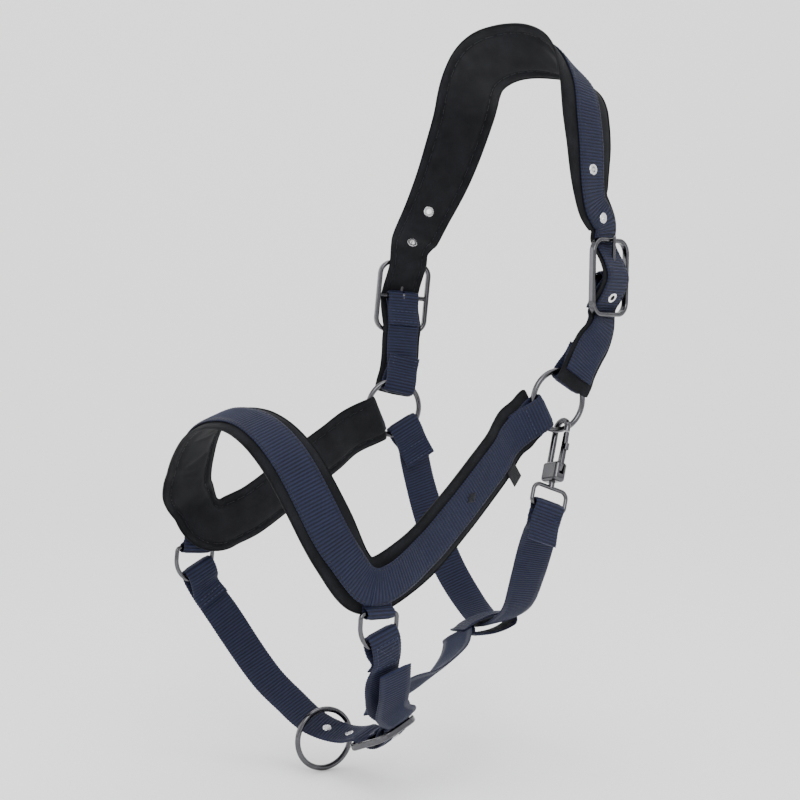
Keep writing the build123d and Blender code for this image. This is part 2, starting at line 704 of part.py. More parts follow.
def chin_eyelet_plane(place):
    row = nearest_row(OFF_CHIN, place)
    tangent = unit(OFF_CHIN[row + 1, :3] - OFF_CHIN[row - 1, :3])
    middle = OFF_CHIN[row, :3] + tangent * np.dot(np.array(place) - OFF_CHIN[row, :3], tangent)
    across = square_to(OFF_CHIN[row, 3:6], tangent)
    return Plane(origin=tuple(middle), x_dir=tuple(tangent), z_dir=tuple(np.cross(across, tangent)))


CHIN_EYELET_PLACES = [(-13, -130, -230), (5, -124.5, -233), CHIN_BUCKLE_FRAME.at(-10, 3.8)]


def chin_eyelets_and_room():
    eyelets, rooms = [], []
    half = WEBBING_THICKNESS / 2
    for place in CHIN_EYELET_PLACES:
        plane = chin_eyelet_plane(place)
        eyelets.append(eyelet(plane, -half, half, CHIN_EYELET_SCALE))
        rooms.append(eyelet_room(plane, -half, half, CHIN_EYELET_SCALE))
    return eyelets, rooms


CHIN_SLOT = (0.8, 17.0)


def near_chin_rows():
    """The short strap from the near D-ring to the chin buckle's centre bar."""
    frame = CHIN_BUCKLE_FRAME
    d_loop = chin_loop(NEAR_D_RING, vec(0.1, 0.99, 0.05), 20, 19)
    buckle_loop = bar_loop(frame, vec(0.1, 0.99, 0.05), 10)[::-1]
    half_gap = (WEBBING_THICKNESS + PLY_GAP) / 2
    under = [
        station(frame.at(along, height + half_gap), frame.across)
        for along, height in ((-23, -9.6), (-16, -7.2))
    ]
    middle = [
        station(vec(*place), vec(0.25, 0.9, 0.3))
        for place in [(88, -167, -171), (77, -158, -185), (66, -146, -198)]
    ]
    joined = smooth([d_loop[-1]] + middle + under + [buckle_loop[0]])
    return np.vstack([with_lap_along(d_loop, joined), buckle_loop[1:]])


NEAR_CHIN = near_chin_rows()


# ---------------------------------------------------------------- throat and jaw
SNAP_EYE_BAR = SNAP_HOOK.at(-57.5, 0)
THROAT_RING_END = RingEnd(OFF_RING_CENTRE, OFF_RING_NORMAL, vec(0.174, 0.453, -0.875))


def throat_rows():
    """From the off ring down under the jaw and up to the snap's eye."""
    loop = THROAT_RING_END.loop(vec(0.2, 0.97, 0.2), lap=30)
    places = [
        ((-84.5, 26, -80), (0.3, 0.94, 0.2)), ((-79, 32, -108), (0.5, 0.85, 0.2)),
        ((-60, 36, -146), (0.5, 0.85, 0.2)), ((-45, 37, -163), (0.45, 0.88, 0.2)),
        ((-25, 32, -174), (0.3, 0.93, 0.2)), ((0, 20, -175), (0.25, 0.95, 0.15)),
        ((30, 14, -161), (0.3, 0.94, 0.05)), ((58, -1, -131), (0.6, 0.8, 0)),
        ((75, -11, -108), (0.75, 0.65, 0)),
    ]
    hint = vec(0.8, 0.6, 0)
    across = SNAP_HOOK.across * np.sign(np.dot(SNAP_HOOK.across, hint))
    eye_loop = fold(SNAP_EYE_BAR, SNAP_HOOK.along, vec(0.3, 0.9, -0.1), across,
                    SNAP_EYE_WIRE / 2 + 1.0, lap=26)[::-1]
    stations = [station(vec(*p), vec(*w)) for p, w in places]
    joined = smooth([loop[-1]] + stations + [eye_loop[0]])
    return np.vstack([loop[:-1], joined, eye_loop[1:]])


THROAT = throat_rows()


def loop_round_strap(rows, place, reach, clearance, lap):
    """A loop round another strap: `reach` points from the looped strap's middle to the fold."""
    row = nearest_row(rows, place)
    tangent = unit(rows[row + 1, :3] - rows[row - 1, :3])
    across = square_to(rows[row, 3:6], tangent)
    into = across * np.sign(np.dot(across, reach))
    bar = rows[row, :3] + into * (WEBBING_WIDTH / 2 - 1)
    return fold(bar, into, np.cross(tangent, into), tangent, WEBBING_THICKNESS / 2 + clearance,
                flat=WEBBING_WIDTH + 2, lap=WEBBING_WIDTH + lap)


JAW_SEAM = vec(66, -146, -198)
JAW_SEAM_GAP = 3.6            # from the middle of the near chin strap to the middle of the jaw strap
JAW_END_PLACES = [(-9, 0), (1, 0), (10, 0.7), (18, 3.6)]


def jaw_strap():
    """The strap from the near chin strap's inner side to a loop round the throat strap."""
    row = nearest_row(NEAR_CHIN, JAW_SEAM)
    inward = outward(NEAR_CHIN)[row]
    rearward = square_to(vec(0, 1, 0), inward)
    across = np.cross(rearward, inward)
    across = across * np.sign(across[0])
    seam = NEAR_CHIN[row, :3] + JAW_SEAM_GAP * inward
    end = [station(seam + d * rearward + lift * inward, across) for d, lift in JAW_END_PLACES]
    middle = [station(vec(43, -84, -193), vec(0.8, -0.2, 0.5)),
              station(vec(22, -40, -185), vec(0.92, -0.25, 0.25))]
    rear = loop_round_strap(THROAT, (2, 20, -175), vec(0, 1, 0), 3.0, 15)[::-1]
    for one in rear:
        one[3:6] = one[3:6] * np.sign(one[3])
    joined = smooth(end + middle + [rear[0]])
    return band(np.vstack([joined, rear[1:]]))


# ---------------------------------------------------------------- snap hook
HOOK_RADIUS = 6.4             # from the ring's wire to the middle of the hook's rod
BLOCK_TOP, BLOCK_BOTTOM = -25.0, -39.0
GATE_PIVOT = (5.4, -29.0)     # out and along
GATE_PIN_RADIUS = 1.1
GATE_THICKNESS = 3.2
SHANK_RADIUS = 2.2
SHANK_HEAD_RADIUS = 3.6
SHANK_HEAD = (-36.5, -33.5)


def in_snap(shape):
    """From the snap's own directions (x out, y across, z along) to the head frame."""
    plane = Plane(origin=tuple(SNAP_HOOK.origin), x_dir=tuple(SNAP_HOOK.out),
                  z_dir=tuple(SNAP_HOOK.along))
    return plane * shape


def snap_body():
    """The hook, its spine and the block that holds gate and swivel."""
    tip_drop = 2.2
    with BuildLine(Plane.XZ) as line:
        Line((HOOK_RADIUS, -tip_drop), (HOOK_RADIUS, 0))
        CenterArc((0, 0), HOOK_RADIUS, 0, 180)
        Line((-HOOK_RADIUS, 0), (-HOOK_RADIUS, BLOCK_TOP - 3))
    path = line.wire()
    profile = Plane(origin=path @ 0, z_dir=path % 0) * Circle(SNAP_ROD / 2)
    hook = sweep(profile, path=path)
    block_height = BLOCK_TOP - BLOCK_BOTTOM
    block = Pos(0, 0, (BLOCK_TOP + BLOCK_BOTTOM) / 2) * Box(17.4, 9.4, block_height)
    block = fillet(block.edges(), 2.4)
    gate_room = Pos(6, 0, BLOCK_TOP - 4.2) * Box(9.6, GATE_THICKNESS + 0.6, 9.0)
    pin_bore = Pos(GATE_PIVOT[0], 0, GATE_PIVOT[1]) * Rot(90, 0, 0) * Cylinder(
        GATE_PIN_RADIUS + SWIVEL_CLEARANCE, 20
    )
    shank_bore = Pos(0, 0, BLOCK_BOTTOM) * Cylinder(SHANK_RADIUS + 0.15, 8)
    head_room = Pos(0, 0, sum(SHANK_HEAD) / 2) * Cylinder(
        SHANK_HEAD_RADIUS + 0.15, SHANK_HEAD[1] - SHANK_HEAD[0] + 0.4
    )
    spring_room = Pos(SPRING_MIDDLE, 0, SPRING_HEIGHT) * Rot(0, 90, 0) * Cylinder(
        SPRING_RADIUS + SPRING_WIRE / 2 + 0.2, SPRING_LENGTH + 0.5
    )
    body = hook + block - gate_room - pin_bore - shank_bore - head_room - spring_room
    return in_snap(solid_of(body))


SPRING_RADIUS = 1.3
SPRING_WIRE = 0.5
SPRING_HEIGHT = -27.4
SPRING_LENGTH = 5.0
SPRING_MIDDLE = -1.1


def snap_spring():
    """The small coil that presses the gate shut."""
    path = Helix(pitch=0.95, height=SPRING_LENGTH - SPRING_WIRE, radius=SPRING_RADIUS)
    profile = Plane(origin=path @ 0, z_dir=path % 0) * Circle(SPRING_WIRE / 2)
    coil = sweep(profile, path=path)
    start = SPRING_MIDDLE - (SPRING_LENGTH - SPRING_WIRE) / 2
    return in_snap(Pos(start, 0, SPRING_HEIGHT) * Rot(0, 90, 0) * solid_of(coil))


def snap_gate():
    """The lever that closes the hook, with a thumb lug on its outer side."""
    top = -3.0
    with BuildPart() as lever:
        with BuildSketch(Plane.XZ):
            Polygon(
                (4.9, top), (8.1, top), (8.6, -14), (8.4, -27), (7.2, -31.4), (4.0, -31.6),
                (3.2, -29), (3.8, -26), (4.6, -14), align=None,
            )
        extrude(amount=GATE_THICKNESS / 2, both=True)
    gate = lever.part
    lug = Pos(9.2, 0, -14) * Box(2.6, GATE_THICKNESS, 5.0)
    gate = gate + lug
    bore = Pos(GATE_PIVOT[0], 0, GATE_PIVOT[1]) * Rot(90, 0, 0) * Cylinder(
        GATE_PIN_RADIUS + SWIVEL_CLEARANCE, 20
    )
    gate = fillet(gate.edges().filter_by(Axis.Y, reverse=True), 0.6) - bore
    return in_snap(solid_of(gate))


def snap_gate_pin():
    pin = Pos(GATE_PIVOT[0], 0, GATE_PIVOT[1]) * Rot(90, 0, 0) * Cylinder(GATE_PIN_RADIUS, 9.2)
    return in_snap(pin)


def snap_eye():
    """The swivelling eye: a headed shank and a rounded loop that takes the throat strap."""
    half = SNAP_EYE_WIDTH / 2
    top, bottom = SNAP_EYE_TOP, SNAP_EYE_TOP - SNAP_EYE_DEPTH
    corner = 5.0
    with BuildLine(Plane.YZ) as outline:
        Line((-half + corner, top), (half - corner, top))
        CenterArc((half - corner, top - corner), corner, 0, 90)
        Line((half, top - corner), (half, bottom + 3))
        CenterArc((half - 3, bottom + 3), 3, -90, 90)
        Line((half - 3, bottom), (-half + 3, bottom))
        CenterArc((-half + 3, bottom + 3), 3, 180, 90)
        Line((-half, bottom + 3), (-half, top - corner))
        CenterArc((-half + corner, top - corner), corner, 90, 90)
    path = outline.wire()
    profile = Plane(origin=path @ 0, z_dir=path % 0) * Circle(SNAP_EYE_WIRE / 2)
    loop = sweep(profile, path=path)
    shank_bottom = top
    shank_top = SHANK_HEAD[0] + 0.4
    shank = Pos(0, 0, (shank_bottom + shank_top) / 2) * Cylinder(
        SHANK_RADIUS, shank_top - shank_bottom
    )
    head = Pos(0, 0, sum(SHANK_HEAD) / 2) * Cylinder(SHANK_HEAD_RADIUS, SHANK_HEAD[1] - SHANK_HEAD[0])
    return in_snap(solid_of(loop + shank + head))


# ---------------------------------------------------------------- saving
def save(name, shape):
    """Writes one node in the part frame."""
    solids = shape if isinstance(shape, list) else [shape]
    to_part_frame = Location(tuple(-LEAD_RING_CENTRE))
    moved = [solid_of(s).moved(to_part_frame) for s in solids]
    saved = moved[0] if len(moved) == 1 else Compound(moved)
    export_step(saved, f"parts/{name}.step")


def cut_from(shape, tools):
    for tool in tools:
        shape = shape - tool
    return solid_of(shape)


os.makedirs("parts", exist_ok=True)

save("nose_pad", nose_pad())
save("nose_webbing", nose_webbing())
save("near_cheek_webbing", near_cheek_webbing())
save("off_cheek_webbing", off_cheek_webbing())
save("near_nose_tab", nose_tab(NEAR_D_RING))
save("off_nose_tab", nose_tab(OFF_D_RING))
save("size_tab", size_tab())

save("near_cheek_ring", halter_ring(NEAR_RING_CENTRE, NEAR_RING_NORMAL))
save("off_cheek_ring", halter_ring(OFF_RING_CENTRE, OFF_RING_NORMAL))
save("near_d_ring", d_ring(NEAR_D_RING))
save("off_d_ring", d_ring(OFF_D_RING))
save("lead_ring", halter_ring(LEAD_RING_CENTRE, LEAD_RING_NORMAL))

crown_eyelets, crown_rooms = crown_eyelets_and_room()
slots = [prong_slot(frame, CROWN_SLOT) for frame in (NEAR_CROWN_BUCKLE, OFF_CROWN_BUCKLE)]
save("crown_pad", cut_from(band(CROWN), crown_rooms + slots))
save("crown_webbing", cut_from(crown_webbing_band(), crown_rooms + slots))
save("crown_eyelets", crown_eyelets)

save("near_buckle_strap", cut_from(band(NEAR_BUCKLE_STRAP), [prong_slot(NEAR_CROWN_BUCKLE, BUCKLE_STRAP_SLOT)]))
save("off_buckle_strap", cut_from(band(OFF_BUCKLE_STRAP), [prong_slot(OFF_CROWN_BUCKLE, BUCKLE_STRAP_SLOT)]))
for side, frame in (("near", NEAR_CROWN_BUCKLE), ("off", OFF_CROWN_BUCKLE)):
    save(f"{side}_crown_buckle", buckle(frame, CROWN_BUCKLE))
    save(f"{side}_crown_prong", prong(frame, CROWN_BUCKLE))

chin_eyelets, chin_rooms = chin_eyelets_and_room()
chin_slot = prong_slot(CHIN_BUCKLE_FRAME, CHIN_SLOT)
save("off_chin_strap", cut_from(band(OFF_CHIN), chin_rooms + [chin_slot]))
save("chin_eyelets", chin_eyelets)
save("near_chin_strap", cut_from(band(NEAR_CHIN), [prong_slot(CHIN_BUCKLE_FRAME, (-8.5, 8.5))]))
save("chin_buckle", buckle(CHIN_BUCKLE_FRAME, CHIN_BUCKLE))
save("chin_prong", prong(CHIN_BUCKLE_FRAME, CHIN_BUCKLE))

save("throat_strap", band(THROAT))
save("jaw_strap", jaw_strap())
save("snap_body", snap_body())
save("snap_gate", snap_gate())
save("snap_gate_pin", snap_gate_pin())
save("snap_spring", snap_spring())
save("snap_eye", snap_eye())
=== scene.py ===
import math
from itertools import product

import bmesh
import bpy
import numpy as np
from mathutils import Matrix, Vector


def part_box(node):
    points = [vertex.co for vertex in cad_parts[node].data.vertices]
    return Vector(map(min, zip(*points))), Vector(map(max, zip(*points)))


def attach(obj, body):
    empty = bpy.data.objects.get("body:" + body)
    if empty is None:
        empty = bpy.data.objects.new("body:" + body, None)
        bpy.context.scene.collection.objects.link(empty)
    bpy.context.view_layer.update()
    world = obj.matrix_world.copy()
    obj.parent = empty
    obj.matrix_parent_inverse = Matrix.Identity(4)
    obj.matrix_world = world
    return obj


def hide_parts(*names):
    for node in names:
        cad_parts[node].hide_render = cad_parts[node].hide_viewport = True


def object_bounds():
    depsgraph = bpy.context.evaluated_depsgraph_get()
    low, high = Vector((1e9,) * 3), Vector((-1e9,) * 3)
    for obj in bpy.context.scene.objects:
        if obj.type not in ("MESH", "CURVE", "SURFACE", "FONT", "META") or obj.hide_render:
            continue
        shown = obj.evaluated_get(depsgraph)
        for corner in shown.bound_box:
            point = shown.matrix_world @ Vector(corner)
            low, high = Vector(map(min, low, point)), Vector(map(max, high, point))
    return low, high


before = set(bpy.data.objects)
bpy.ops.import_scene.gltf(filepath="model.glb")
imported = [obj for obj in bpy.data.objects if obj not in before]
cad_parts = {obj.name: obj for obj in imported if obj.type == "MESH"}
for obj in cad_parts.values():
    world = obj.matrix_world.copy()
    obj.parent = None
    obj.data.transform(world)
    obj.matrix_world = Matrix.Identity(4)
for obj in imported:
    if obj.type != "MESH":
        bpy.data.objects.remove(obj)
cad_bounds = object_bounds()

MM = 0.001

# ---------------------------------------------------------------- corners of the CAD's straps
WELD_STEPS = 1e6              # steps in a metre: corners that round to the same step are one
SHARP_DOT = 0.45              # two faces meet at a sharp edge if their normals' dot product is below this
END_MOST_THICK = 8 * MM
END_LEAST_WIDE = 20 * MM
END_EDGES = 3                 # sharp edges that meet at a corner of a cut end
WORST_MISFIT = 4.0            # a walk along a strap stops when no section fits better than this
GOOD_MISFIT = 0.6             # a section that fits better than this needs no wider search
WIDTH_WEIGHT = 4
SKEW_WEIGHT = 4
MOVE_WEIGHT = 2
TINY = 1e-12                  # keeps a length away from zero before a division


def welded_corners(mesh):
    """A mesh's corners with the doubles merged, and the merged number of each."""
    places = np.array([v.co for v in mesh.vertices])
    steps = np.round(places * WELD_STEPS)
    _, first, merged = np.unique(steps, axis=0, return_index=True, return_inverse=True)
    return places[first], merged.ravel()


def corner_graph(node):
    """The corners of a CAD strap, which of them a sharp edge joins, and which any edge joins."""
    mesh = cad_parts[node].data
    mesh.calc_loop_triangles()
    places, merged = welded_corners(mesh)
    triangles = merged[np.array([t.vertices for t in mesh.loop_triangles])]
    a, b, c = (places[triangles[:, k]] for k in range(3))
    normals = np.cross(b - a, c - a)
    normals /= np.linalg.norm(normals, axis=1)[:, None] + 1e-20
    edges = {}
    for number, triangle in enumerate(triangles):
        for start, end in zip(triangle, np.roll(triangle, -1)):
            edges.setdefault((min(start, end), max(start, end)), []).append(number)
    sharp = {}
    for (start, end), sides in edges.items():
        if normals[sides[0]] @ normals[sides[1]] < SHARP_DOT:
            sharp.setdefault(start, set()).add(end)
            sharp.setdefault(end, set()).add(start)
    joined = {corner: set() for corner in sharp}
    for start, end in edges:
        if start in sharp and end in sharp:
            joined[start].add(end)
            joined[end].add(start)
    return places, sharp, joined


def end_sections(places, sharp):
    """The four corners of each cut end, going round: thickness first, then width."""
    found = {}
    for a in sharp:
        for b in sharp[a]:
            for c in sharp[b] - {a}:
                for d in (sharp[c] & sharp[a]) - {b}:
                    thick = np.linalg.norm(places[a] - places[b])
                    wide = np.linalg.norm(places[b] - places[c])
                    fewest = min(len(sharp[v]) for v in (a, b, c, d))
                    if fewest >= END_EDGES and thick < END_MOST_THICK and wide > END_LEAST_WIDE:
                        found[frozenset((a, b, c, d))] = (a, b, c, d)
    return list(found.values())


def misfit(corners, before):
    """How little a section looks like the one before it."""
    def sizes(p):
        return np.array([np.linalg.norm(p[0] - p[1]), np.linalg.norm(p[2] - p[3]),
                         np.linalg.norm(p[1] - p[2]), np.linalg.norm(p[0] - p[3])])
    now, last = sizes(corners), sizes(before)
    skew = abs(np.linalg.norm(corners[0] - corners[2]) - np.linalg.norm(corners[1] - corners[3]))
    change = abs(now - last) / last * (1, 1, WIDTH_WEIGHT, WIDTH_WEIGHT)
    moved = np.linalg.norm(corners - before, axis=1).sum()
    return change.sum() + SKEW_WEIGHT * skew / last[2] + MOVE_WEIGHT * moved


def strap_corners(node):
    """The corners of each section of a CAD strap, walking on from one cut end."""
    places, sharp, joined = corner_graph(node)
    ends = end_sections(places, sharp)
    row = list(ends[0])
    goal = {corner for end in ends[1:] for corner in end}
    rows = [row]
    used = set(row)
    while not used & goal:
        best = WORST_MISFIT
        best_row = None
        for linked in (sharp, joined):
            choices = [[w for w in linked[v] if w not in used] for v in row]
            for candidate in product(*choices):
                if len(set(candidate)) == 4:
                    score = misfit(places[list(candidate)], places[row])
                    if score < best:
                        best = score
                        best_row = list(candidate)
            if best < GOOD_MISFIT:
                break
        if best_row is None:
            break
        row = best_row
        rows.append(row)
        used |= set(row)
    return places[np.array(rows)]


def spline(values, at, wanted):
    """Smooth values at the wanted distances, through the given ones."""
    slopes = np.gradient(values, at, axis=0)
    k = np.clip(np.searchsorted(at, wanted, side="right") - 1, 0, len(at) - 2)
    gap = (at[k + 1] - at[k])[:, None]
    t = ((wanted - at[k])[:, None]) / gap
    start, end = values[k], values[k + 1]
    return ((2 * t**3 - 3 * t**2 + 1) * start + (t**3 - 2 * t**2 + t) * gap * slopes[k]
            + (3 * t**2 - 2 * t**3) * end + (t**3 - t**2) * gap * slopes[k + 1])


def unit_rows(rows):
    return rows / (np.linalg.norm(rows, axis=1)[:, None] + TINY)


class Strap:
    """A strap's path: its middle line, the directions across it and out of it, width and thickness."""

    def __init__(self, node, step, core):
        corners = strap_corners(node)
        middle = corners.mean(axis=1)
        at = np.r_[0, np.cumsum(np.linalg.norm(np.diff(middle, axis=0), axis=1))]
        across = corners[:, 2] - corners[:, 1] + corners[:, 3] - corners[:, 0]
        out = corners[:, 1] - corners[:, 0] + corners[:, 2] - corners[:, 3]
        count = max(int(round(at[-1] / step)), 2) + 1
        self.travelled = np.linspace(0, at[-1], count)
        self.middle = spline(middle, at, self.travelled)
        self.across = unit_rows(spline(unit_rows(across), at, self.travelled))
        self.out = unit_rows(spline(unit_rows(out), at, self.travelled))
        self.width = np.interp(self.travelled, at, np.linalg.norm(across, axis=1) / 2)
        self.thick = np.interp(self.travelled, at, np.linalg.norm(out, axis=1) / 2)
        if ((self.middle - core) * self.out).sum() < 0:
            self.out = -self.out
        self.length = at[-1]

    def place(self, row, share, height):
        """A point at a row, at a share of the half width, and a height above the middle."""
        return (self.middle[row] + self.across[row] * share * self.width[row] / 2
                + self.out[row] * height)

    def row_at(self, distance):
        return int(np.clip(np.searchsorted(self.travelled, distance), 0, len(self.travelled) - 1))

    def nearest(self, point):
        return int(np.argmin(np.linalg.norm(self.middle - np.array(point), axis=1)))

    def surface(self, across, height):
        """Points of a section at every row, from distances across the middle line and out of it."""
        return (self.middle[:, None, :] + self.across[:, None, :] * across[:, :, None]
                + self.out[:, None, :] * height[:, :, None]).reshape(-1, 3)

    def weave_uv(self, share):
        """UVs of a surface: the share of the half width, and ribs along the strap."""
        pair = np.broadcast_arrays(share[None, :], self.travelled[:, None] / RIB_PITCH)
        return np.stack(pair, axis=2).reshape(-1, 2)


# ---------------------------------------------------------------- meshes
RIB_PITCH = 2.3 * MM          # one rib of the webbing
RIB_HEIGHT = 0.50 * MM
RIB_SUNK = 0.2                # share of a rib's height that lies below the webbing's face
RIBBED_SHARE = 0.66           # share of the half width that is ribbed; the rest is smooth selvedge
RIB_FADE = 0.06               # share of the half width over which the ribs fade out
ROW_STEP = 0.46 * MM          # five rows of points to a rib
WEBBING_ACROSS = 16           # points across each face of the webbing
WEBBING_SHARPNESS = 10
EDGE_FULL = 0.30              # of the half thickness, at the webbing's edges
MIDDLE_FULL = 0.62            # what the middle has beyond that
SCALLOP = 0.16 * MM           # how far the selvedge waves in and out
SCALLOP_SHARE = 0.93          # the wave is beyond this share of the half width
EDGE_CROWDING = 0.93          # near 1, the points of a section crowd towards its edges
EYELET_ROOM = 3.0 * MM        # cloth is cut away this far round an eyelet's axis
EYELET_DEPTH = 6 * MM         # and this far along it, each way
FACE_SAMPLING = 7             # every seventh face is enough to tell inside from outside


def new_object(name, points, faces, material, uv=None):
    mesh = bpy.data.meshes.new(name)
    mesh.from_pydata([tuple(p) for p in points], [], faces)
    if uv is not None:
        corner = np.zeros(len(mesh.loops), np.int32)
        mesh.loops.foreach_get("vertex_index", corner)
        layer = mesh.uv_layers.new(name="UVMap")
        layer.data.foreach_set("uv", uv[corner].astype(np.float32).ravel())
    mesh.materials.append(material)
    mesh.shade_smooth()
    mesh.update()
    obj = bpy.data.objects.new(name, mesh)
    bpy.context.scene.collection.objects.link(obj)
    return obj


def tube_faces(rows, around):
    """Faces of a closed tube: a ring of points to each row, and a cap at both ends."""
    faces = []
    for i in range(rows - 1):
        for j in range(around):
            k = (j + 1) % around
            faces.append((i * around + j, i * around + k, (i + 1) * around + k, (i + 1) * around + j))
    faces.append(tuple(range(around - 1, -1, -1)))
    faces.append(tuple((rows - 1) * around + j for j in range(around)))
    return faces


def facing_out(points, faces):
    """The same faces, turned over if they face inward."""
    volume = 0.0
    for face in faces[::FACE_SAMPLING]:
        a, b, c = points[face[0]], points[face[1]], points[face[2]]
        volume += np.dot(np.cross(b - a, c - a), a - points.mean(axis=0))
    return faces if volume > 0 else [tuple(reversed(face)) for face in faces]


def section_shares(steps):
    """Shares of the half width round a section: along the outer face, then back along the inner one."""
    top = np.sin(np.linspace(-1, 1, steps) * math.pi / 2 * EDGE_CROWDING)
    top = top / math.sin(math.pi / 2 * EDGE_CROWDING)
    return np.r_[top, top[::-1]], np.r_[np.ones(steps), -np.ones(steps)]


def edge_round(share, sharpness):
    """Height of a rounded section at a share of its half width."""
    return (1 - np.minimum(abs(share), 1) ** sharpness) ** 0.5


def webbing(name, strap, material):
    """Ribbed woven webbing along a strap."""
    share, side = section_shares(WEBBING_ACROSS)
    wave = np.cos(2 * math.pi * strap.travelled / RIB_PITCH)[:, None]
    ribbed = np.clip((RIBBED_SHARE - abs(share)) / RIB_FADE + 1, 0, 1)
    rib = ribbed * RIB_HEIGHT * (0.5 + 0.5 * wave - RIB_SUNK)
    full = (EDGE_FULL + MIDDLE_FULL * edge_round(share, WEBBING_SHARPNESS))[None, :]
    height = (strap.thick[:, None] / 2 * full + rib) * side
    reach = strap.width[:, None] / 2 + SCALLOP * (wave - 1) * (abs(share) > SCALLOP_SHARE)
    points = strap.surface(share * reach, height)
    faces = facing_out(points, tube_faces(len(strap.travelled), len(share)))
    return new_object(name, points, faces, material, strap.weave_uv(share))


def cut_round(obj, strap, centres):
    """Takes away the faces of a strap inside its eyelets. The holes' walls are left open."""
    mesh = bmesh.new()
    mesh.from_mesh(obj.data)
    inside = []
    for centre in centres:
        axis = strap.out[strap.nearest(centre)]
        for face in mesh.faces:
            away = np.array(face.calc_center_median()) - centre
            along = away @ axis
            if abs(along) < EYELET_DEPTH and np.linalg.norm(away - along * axis) < EYELET_ROOM:
                inside.append(face)
    bmesh.ops.delete(mesh, geom=list(set(inside)), context="FACES")
    mesh.to_mesh(obj.data)
    mesh.free()


def eyelet_places(node):
    """The middle of every eyelet of a CAD node, found as its separate pieces."""
    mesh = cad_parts[node].data
    places, merged = welded_corners(mesh)
    owner = list(range(len(places)))

    def piece_of(corner):
        while owner[corner] != corner:
            owner[corner] = owner[owner[corner]]
            corner = owner[corner]
        return corner

    for edge in mesh.edges:
        start, end = (piece_of(merged[v]) for v in edge.vertices)
        owner[start] = end
    piece = np.array([piece_of(corner) for corner in range(len(places))])
    return [(places[piece == k].min(axis=0) + places[piece == k].max(axis=0)) / 2 for k in np.unique(piece)]


# ---------------------------------------------------------------- stitches
STITCH_LENGTH = 2.5 * MM
STITCH_PITCH = 3.4 * MM
STITCH_RADIUS = 0.27 * MM
STITCH_SIDES = 6
STITCH_STATIONS = (0, 0.16, 0.5, 0.84, 1)
STITCH_TAPER = 0.75           # how much thinner a stitch is at its ends
STITCH_RISE = 0.25            # in thread radii, above its line in the middle
STITCH_DIP = 1.15             # in thread radii, from the middle down to the ends
THREAD_FLATNESS = 0.8
SHORTEST_STITCH = 0.4 * STITCH_LENGTH
ROW_HEIGHT = 0.9 * MM         # height of stitches above a strap's middle: along it,
ACROSS_HEIGHT = 1.05 * MM     # across it,
LINE_HEIGHT = 1.1 * MM        # and in a sewn box
ACROSS_REACH = 0.8            # shares of the half width that stitches reach: across a strap,
BOX_REACH = 0.75              # and in a sewn box
HALF_WEBBING = 12.5 * MM


def capsule(start, end, lift, radius):
    """A stitch: a bead of thread sunk at both ends."""
    along = end - start
    length = np.linalg.norm(along)
    along = along / length
    side = np.cross(along, lift)
    side /= np.linalg.norm(side) + TINY
    up = np.cross(side, along)
    points = []
    for t in STITCH_STATIONS:
        off_middle = 2 * abs(t - 0.5)
        fullness = 1 - STITCH_TAPER * off_middle ** 6
        rise = STITCH_RISE - STITCH_DIP * off_middle ** 4
        for k in range(STITCH_SIDES):
            angle = 2 * math.pi / STITCH_SIDES * k
            ring = math.cos(angle) * side + THREAD_FLATNESS * math.sin(angle) * up
            points.append(start + along * length * t + up * radius * rise + radius * fullness * ring)
    return points


def stitches(name, ends, material, radius):
    """One mesh of all the stitches given as (start, end, outward)."""
    points, faces = [], []
    for start, end, lift in ends:
        base = len(points)
        points += capsule(start, end, lift, radius)
        bead = tube_faces(len(STITCH_STATIONS), STITCH_SIDES)
        faces += [tuple(base + v for v in face) for face in bead]
    return new_object(name, np.array(points), faces, material)


def stitch_row(strap, share, margin, side=1, height=ROW_HEIGHT):
    """Stitches along a strap at a share of its half width, but for a margin at both ends."""
    ends = []
    distance = margin
    while distance + STITCH_LENGTH < strap.length - margin:
        rows = strap.row_at(distance), strap.row_at(distance + STITCH_LENGTH)
        start, end = (strap.place(row, share, side * height) for row in rows)
        if np.linalg.norm(end - start) > SHORTEST_STITCH:
            ends.append((start, end, side * strap.out[rows[0]]))
        distance += STITCH_PITCH
    return ends


def stitch_across(strap, distance):
    """Stitches across a strap at a distance along it."""
    row = strap.row_at(distance)
    ends = []
    reach = strap.width[row] / 2
    share = -ACROSS_REACH
    while share + STITCH_LENGTH / reach < ACROSS_REACH:
        start = strap.place(row, share, ACROSS_HEIGHT)
        end = strap.place(row, share + STITCH_LENGTH / reach, ACROSS_HEIGHT)
        ends.append((start, end, strap.out[row]))
        share += STITCH_PITCH / reach
    return ends


def stitch_line(strap, start, end):
    """Stitches from one (distance, share) to another on a strap's face."""
    (d0, s0), (d1, s1) = start, end
    span = math.hypot(d1 - d0, (s1 - s0) * HALF_WEBBING)
    ends = []
    for k in range(int(span / STITCH_PITCH)):
        t0 = k * STITCH_PITCH / span
        t1 = t0 + STITCH_LENGTH / span
        row0, row1 = strap.row_at(d0 + t0 * (d1 - d0)), strap.row_at(d0 + t1 * (d1 - d0))
        a = strap.place(row0, s0 + t0 * (s1 - s0), LINE_HEIGHT)
        b = strap.place(row1, s0 + t1 * (s1 - s0), LINE_HEIGHT)
        ends.append((a, b, strap.out[row0]))
    return ends


def stitch_box(strap, first, last):
    """A sewn box with a cross inside it."""
    near, far = -BOX_REACH, BOX_REACH
    box = [((first, near), (first, far)), ((last, near), (last, far)),
           ((first, near), (last, near)), ((first, far), (last, far)),
           ((first, near), (last, far)), ((first, far), (last, near))]
    return [s for line in box for s in stitch_line(strap, *line)]


# ---------------------------------------------------------------- materials
def nodes_of(name):
    material = bpy.data.materials.new(name)
    material.use_nodes = True
    tree = material.node_tree
    return material, tree, tree.nodes["Principled BSDF"]


